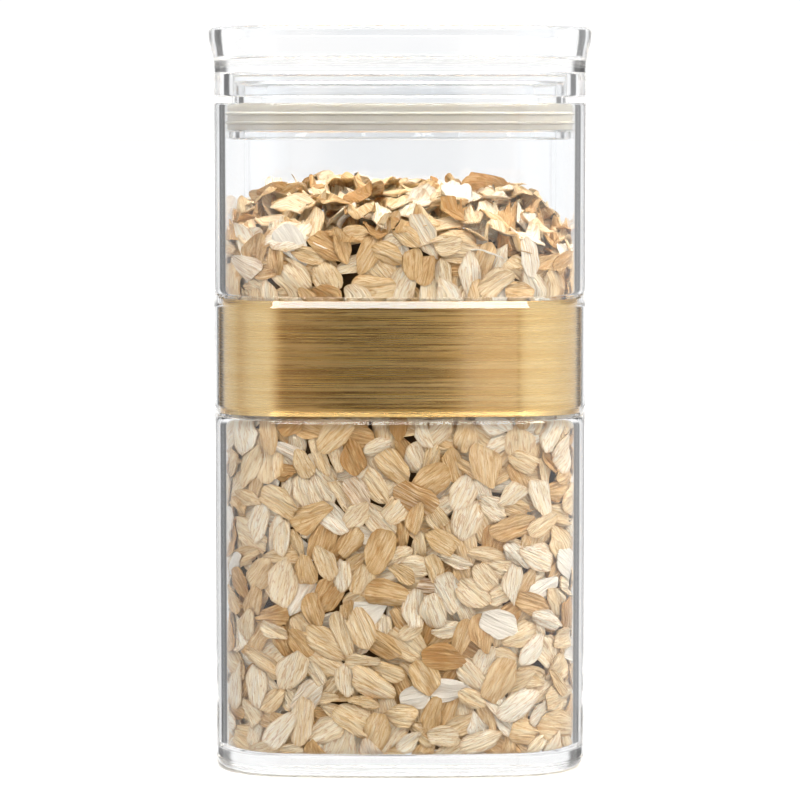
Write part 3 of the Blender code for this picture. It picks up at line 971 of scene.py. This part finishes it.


# %% [markdown]
# ### The look of a flake
#
# Rolled oats run from cream to golden tan. Fibres run lengthwise in fine streaks with a few browner ones, the
# torn edge is toasted a little darker, and some flakes are dusted white with flour. The
# steamed surface has a dull satin shine.

# %% Rolled oat material
def rolled_oat():
    """Steamed, rolled and dried oat, read from each point's place on its flake."""
    material = bpy.data.materials.new("rolled_oat")
    material.use_nodes = True
    tree = material.node_tree
    shader = tree.nodes["Principled BSDF"]
    spot = node(tree, "ShaderNodeAttribute", attribute_name="place_on_flake").outputs["Vector"]
    tone = node(tree, "ShaderNodeAttribute", attribute_name="tone").outputs["Fac"]
    flour = node(tree, "ShaderNodeAttribute", attribute_name="flour").outputs["Fac"]

    def noise(scale, detail):
        at = node(tree, "ShaderNodeMapping", {"Vector": spot, "Scale": scale}).outputs[0]
        return node(tree, "ShaderNodeTexNoise", {"Vector": at, "Scale": 1.0, "Detail": detail}).outputs["Fac"]

    def mixed(share, first, code):
        return node(tree, "ShaderNodeMix", {0: share, 6: first, 7: linear(code)}, data_type="RGBA").outputs[2]

    def sum_of(first, weight, second):
        return node(tree, "ShaderNodeMath", {0: first, 1: weight, 2: second},
                    operation="MULTIPLY_ADD").outputs[0]

    fibres = noise((1.2, 8.0, 1.0), 4.0)
    patches = noise((1.5, 2.0, 1.3), 3.0)
    streaks = noise((0.8, 4.5, 2.1), 2.0)
    level = sum_of(fibres, 0.7, sum_of(patches, 0.5, tone))
    tones = node(tree, "ShaderNodeValToRGB", {0: ramp(tree, level, 0.6, 1.6, 0.0, 1.0)})
    stops = tones.color_ramp.elements
    stops[0].position, stops[0].color = 0.0, linear("#B98A50")
    stops[1].position, stops[1].color = 1.0, linear("#FFF9EA")
    for position, code in ((0.25, "#E3C08C"), (0.5, "#F1D9AF"), (0.78, "#FAEBCE")):
        stops.new(position).color = linear(code)
    off_streak = node(tree, "ShaderNodeMath", {0: streaks, 1: 0.5}, operation="SUBTRACT").outputs[0]
    off_streak = node(tree, "ShaderNodeMath", {0: off_streak}, operation="ABSOLUTE").outputs[0]
    colour = mixed(ramp(tree, off_streak, 0.0, 0.045, 0.55, 0.0), tones.outputs[0], "#C58A45")
    flat = node(tree, "ShaderNodeVectorMath", {0: spot, 1: (1.0, 1.0, 0.0)}, operation="MULTIPLY").outputs[0]
    radius = node(tree, "ShaderNodeVectorMath", {0: flat}, operation="LENGTH").outputs["Value"]
    colour = mixed(ramp(tree, radius, 0.8, 1.02, 0.0, 0.4), colour, "#C99A5C")
    floury = sum_of(flour, 1.1, sum_of(fibres, 0.5, -0.25))
    colour = mixed(ramp(tree, floury, 0.45, 0.85, 0.0, 0.9), colour, "#FFFBF2")
    relief = sum_of(streaks, 1.5, fibres)
    bump = node(tree, "ShaderNodeBump", {"Strength": 1.0, "Distance": 0.32 * MM, "Height": relief})
    tree.links.new(colour, shader.inputs["Base Color"])
    tree.links.new(ramp(tree, patches, 0.3, 0.7, 0.5, 0.72), shader.inputs["Roughness"])
    tree.links.new(bump.outputs[0], shader.inputs["Normal"])
    return material


oat = rolled_oat()

# %% Flakes by side
def side_of(flake):
    """Which side of the wall a flake belongs to, by the middle of it."""
    x, y, _ = flake.reshape(-1, 3).mean(0)
    if abs(x) > abs(y):
        return "right" if x > 0 else "left"
    return "back" if y > 0 else "front"


groups = {}
for index, flake in enumerate(flakes):
    if index < WALL_FLAKES:
        group = side_of(flake)
    else:
        group = "floor" if index < WALL_FLAKES + FLOOR_FLAKES else "heap"
    groups.setdefault(group, []).append(flake)
pieces = [flake_piece("oat_flakes_" + group, groups[group], oat) for group in sorted(groups)]
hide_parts("rolled_oats")

# %% [markdown]
# ### What lies behind the flakes
#
# Deeper in, the eye meets only brown shade between flakes. A plain inner body in painted shade, a dark brown
# mottle, stands for the thousands that nobody sees, and stops the light from passing right through.

# %% Inner body of the oats
CORE_INSET = 8.5 * MM
CORE_DROP = 6.0


def painted_shade_oat():
    """Painted shade: a dark brown mottle that stands for the shaded flakes deep among the others."""
    material = bpy.data.materials.new("oat_core_painted_shade")
    material.use_nodes = True
    tree = material.node_tree
    place = node(tree, "ShaderNodeTexCoord").outputs["Object"]
    # painted shade: a noisy mix of two dark browns stands for the shade deep among the flakes, not for the
    # oats' own colour
    shade_mottle = node(tree, "ShaderNodeTexNoise", {"Vector": place, "Scale": 1000.0 / 3.0, "Detail": 4.0})
    colour = node(tree, "ShaderNodeMix",
                  {0: shade_mottle.outputs["Fac"], 6: linear("#3E2814"), 7: linear("#84602F")},
                  data_type="RGBA").outputs[2]
    tree.links.new(colour, tree.nodes["Principled BSDF"].inputs["Base Color"])
    tree.nodes["Principled BSDF"].inputs["Roughness"].default_value = 0.95
    return material


core_corners = [
    (CORE_INSET + 4 * MM, (OATS_LOW + 3.0) * MM, 0.0),
    (CORE_INSET, (OATS_LOW + 3.0) * MM, 2.0 * MM),
    (CORE_INSET, (HEAP_CREST - HEAP_FALL - CORE_DROP) * MM, 4.0 * MM),
    (CORE_INSET + 12 * MM, (HEAP_CREST - HEAP_FALL - CORE_DROP + 3.0) * MM, 0.0),
]
oat_core = sweep("oat_core", rounded(core_corners))
oat_core.data.materials.append(painted_shade_oat())
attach(oat_core, "canister")
